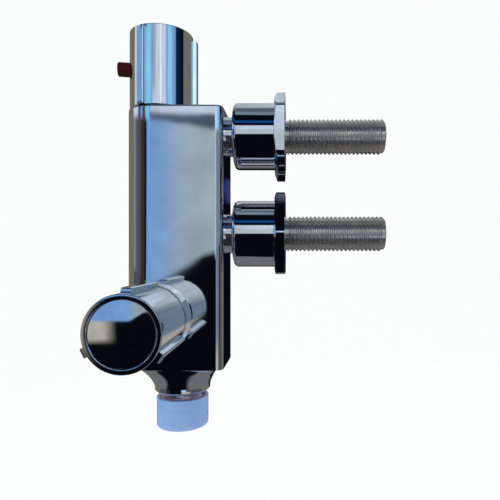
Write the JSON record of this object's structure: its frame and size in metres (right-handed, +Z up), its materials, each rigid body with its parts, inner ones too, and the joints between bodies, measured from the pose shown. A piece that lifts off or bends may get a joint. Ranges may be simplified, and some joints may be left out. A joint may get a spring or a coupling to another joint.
{
  "type": "shower mixer valve",
  "caption": "Exposed shower mixer valve: tall chromed body with a ribbed temperature handle on top, a flow knob on its side, a capped outlet below and threaded wall tails.",
  "frame": {"origin": "on the wall plane, at the outer face of the wall nuts, in the middle of the valve's width and half way between the inlets", "axes": "+X into the wall along the tails, +Z up along the temperature handle's axis, -Y along the flow knob's axis towards its front"},
  "size_m": [0.1637, 0.1053, 0.2401],
  "materials": {
    "chrome": "mirror chrome plate",
    "tail_metal": "dull nickel-plated thread",
    "brass": "turned",
    "blue_plastic": "moulded",
    "red_plastic": "moulded, dark red",
    "cap_plastic": "translucent moulded",
    "white_plastic": "moulded",
    "rubber": "moulded",
    "steel": "stainless",
    "copper_alloy": "drawn",
    "ceramic": "lapped"
  },
  "bodies": {
    "valve": {"valve_body": "chrome", "rear_plug": "blue_plastic", "outlet_cap": "cap_plastic", "cartridge_sleeve": "brass", "cartridge_o_rings": "rubber", "retaining_nut": "brass", "return_spring": "steel", "stop_ring": "white_plastic", "flow_headwork": "brass", "flow_o_ring": "rubber", "disc_seal": "rubber", "fixed_ceramic_disc": "ceramic", "upper_tail": "tail_metal", "upper_tail_o_ring": "rubber", "upper_cup": "chrome", "upper_cup_washer": "rubber", "upper_wall_nut": "chrome", "upper_strainer": "steel", "upper_check_housing": "white_plastic", "upper_check_spring": "steel", "lower_tail": "tail_metal", "lower_tail_o_ring": "rubber", "lower_cup": "chrome", "lower_cup_washer": "rubber", "lower_wall_nut": "chrome", "lower_strainer": "steel", "lower_check_housing": "white_plastic", "lower_check_spring": "steel"},
    "temperature_handle": {"temperature_spindle": "brass", "temperature_handle_shell": "chrome", "temperature_handle_insert": "white_plastic", "temperature_handle_screw": "steel", "temperature_handle_disc": "chrome", "button_spring": "steel"},
    "safety_button": {"safety_button": "red_plastic"},
    "mixing_element": {"temperature_pusher": "brass", "wax_element": "copper_alloy", "mixing_spool": "white_plastic"},
    "flow_knob": {"moving_ceramic_disc": "ceramic", "flow_spindle": "brass", "flow_knob_shell": "chrome", "flow_knob_insert": "white_plastic", "flow_knob_screw": "steel", "flow_knob_disc": "chrome"},
    "upper_poppet": {"upper_check_poppet": "white_plastic"},
    "lower_poppet": {"lower_check_poppet": "white_plastic"}
  },
  "joints": [
    {"name": "temperature_turn", "type": "hinge", "parent": "valve", "child": "temperature_handle", "pos_m": [-0.0765, 0, 0.0451], "axis": [0, 0, 1], "range_deg": [-210, 0]},
    {"name": "button_press", "type": "slide", "parent": "temperature_handle", "child": "safety_button", "axis": [0.9848, 0.1736, 0], "range_m": [0, 0.0024], "stiffness_N_per_m": 600, "springref_m": -0.002, "deforming": ["button_spring"]},
    {"name": "element_slide", "type": "slide", "parent": "valve", "child": "mixing_element", "axis": [0, 0, 1], "range_m": [-0.0009, 0], "deforming": ["return_spring"]},
    {"name": "flow_turn", "type": "hinge", "parent": "valve", "child": "flow_knob", "pos_m": [-0.0745, -0.0301, -0.0795], "axis": [0, -1, 0], "range_deg": [0, 90]},
    {"name": "upper_check_open", "type": "slide", "parent": "valve", "child": "upper_poppet", "axis": [-1, 0, 0], "range_m": [0, 0.0025], "stiffness_N_per_m": 150, "springref_m": -0.002, "deforming": ["upper_check_spring"]},
    {"name": "lower_check_open", "type": "slide", "parent": "valve", "child": "lower_poppet", "axis": [-1, 0, 0], "range_m": [0, 0.0025], "stiffness_N_per_m": 150, "springref_m": -0.002, "deforming": ["lower_check_spring"]}
  ],
  "couplings": [
    {"joint": "element_slide", "follows": "temperature_turn", "m_per_rad": 0.00023873}
  ]
}
